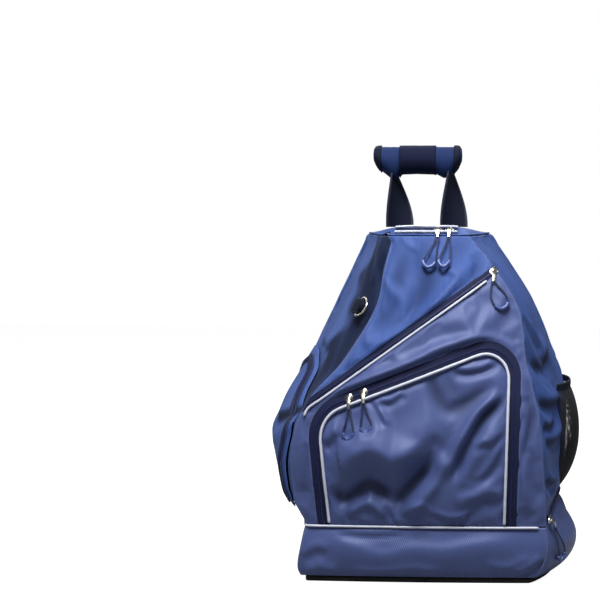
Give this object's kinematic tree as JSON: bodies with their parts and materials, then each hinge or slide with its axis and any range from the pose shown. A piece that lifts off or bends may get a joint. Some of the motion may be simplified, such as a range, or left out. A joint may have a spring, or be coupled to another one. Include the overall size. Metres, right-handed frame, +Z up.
{
  "type": "grooming backpack",
  "caption": "Tapered cloth backpack with a base compartment, slanted and arched zip pockets, a net side pocket and a padded grab handle.",
  "frame": {"origin": "On the floor, at the middle of the sole's flat underside, below the middle of the waist seam's width and depth.", "axes": "+Z up; -Y towards the front with the pockets; +X towards the net pocket, on the right as the front is seen."},
  "size_m": [0.4191, 0.2929, 0.5734],
  "materials": {
    "smooth_cloth": "smooth navy nylon with a soft sheen",
    "twill_cloth": "navy twill polyester",
    "grip_cloth": "navy cloth over foam",
    "webbing": "dark navy ribbed webbing and binding",
    "net": "black elastic net",
    "sole_cloth": "black coated cloth",
    "piping": "light grey reflective piping",
    "zip_tape": "indigo coil zip on woven tape",
    "pull_cord": "braided navy cord",
    "pull_sleeve": "blue-grey moulded sleeve",
    "metal": "bright nickel",
    "buckle_plastic": "black moulded plastic"
  },
  "bodies": {
    "root": {"upper_front_panel": "smooth_cloth", "left_side_panel": "smooth_cloth", "right_side_panel": "smooth_cloth", "top_panel": "smooth_cloth", "back_panel": "smooth_cloth", "slanted_pocket_panel": "twill_cloth", "arched_pocket_flap": "twill_cloth", "left_pouch": "twill_cloth", "base_front_panel": "twill_cloth", "base_left_panel": "twill_cloth", "base_back_panel": "twill_cloth", "base_end_door": "twill_cloth", "shoulder_strap_left": "twill_cloth", "shoulder_strap_right": "twill_cloth", "handle_grip": "grip_cloth", "handle_grip_wrap": "webbing", "handle_grip_binding_left": "webbing", "handle_grip_binding_right": "webbing", "handle_webbing_left": "webbing", "handle_webbing_right": "webbing", "net_pocket_binding": "webbing", "d_ring_tab": "webbing", "shoulder_webbing_left": "webbing", "shoulder_webbing_right": "webbing", "net_pocket": "net", "sole": "sole_cloth", "slanted_pocket_piping": "piping", "arched_pocket_piping": "piping", "waist_piping": "piping", "top_zip_front_piping": "piping", "top_zip_back_piping": "piping", "slanted_pocket_zip_tape": "zip_tape", "arched_pocket_zip_tape": "zip_tape", "end_door_zip_tape": "zip_tape", "top_zip_tape": "zip_tape", "left_pouch_zip_tape": "zip_tape", "top_left_pull_cord": "pull_cord", "top_right_pull_cord": "pull_cord", "slanted_pull_cord": "pull_cord", "arched_left_pull_cord": "pull_cord", "arched_right_pull_cord": "pull_cord", "end_door_pull_cord": "pull_cord", "top_left_pull_sleeve": "pull_sleeve", "top_right_pull_sleeve": "pull_sleeve", "slanted_pull_sleeve": "pull_sleeve", "arched_left_pull_sleeve": "pull_sleeve", "arched_right_pull_sleeve": "pull_sleeve", "end_door_pull_sleeve": "pull_sleeve", "top_left_zip_slider": "metal", "top_right_zip_slider": "metal", "slanted_zip_slider": "metal", "arched_left_zip_slider": "metal", "arched_right_zip_slider": "metal", "end_door_zip_slider": "metal", "d_ring": "metal", "strap_buckle_left": "buckle_plastic", "strap_buckle_right": "buckle_plastic"}
  },
  "joints": []
}
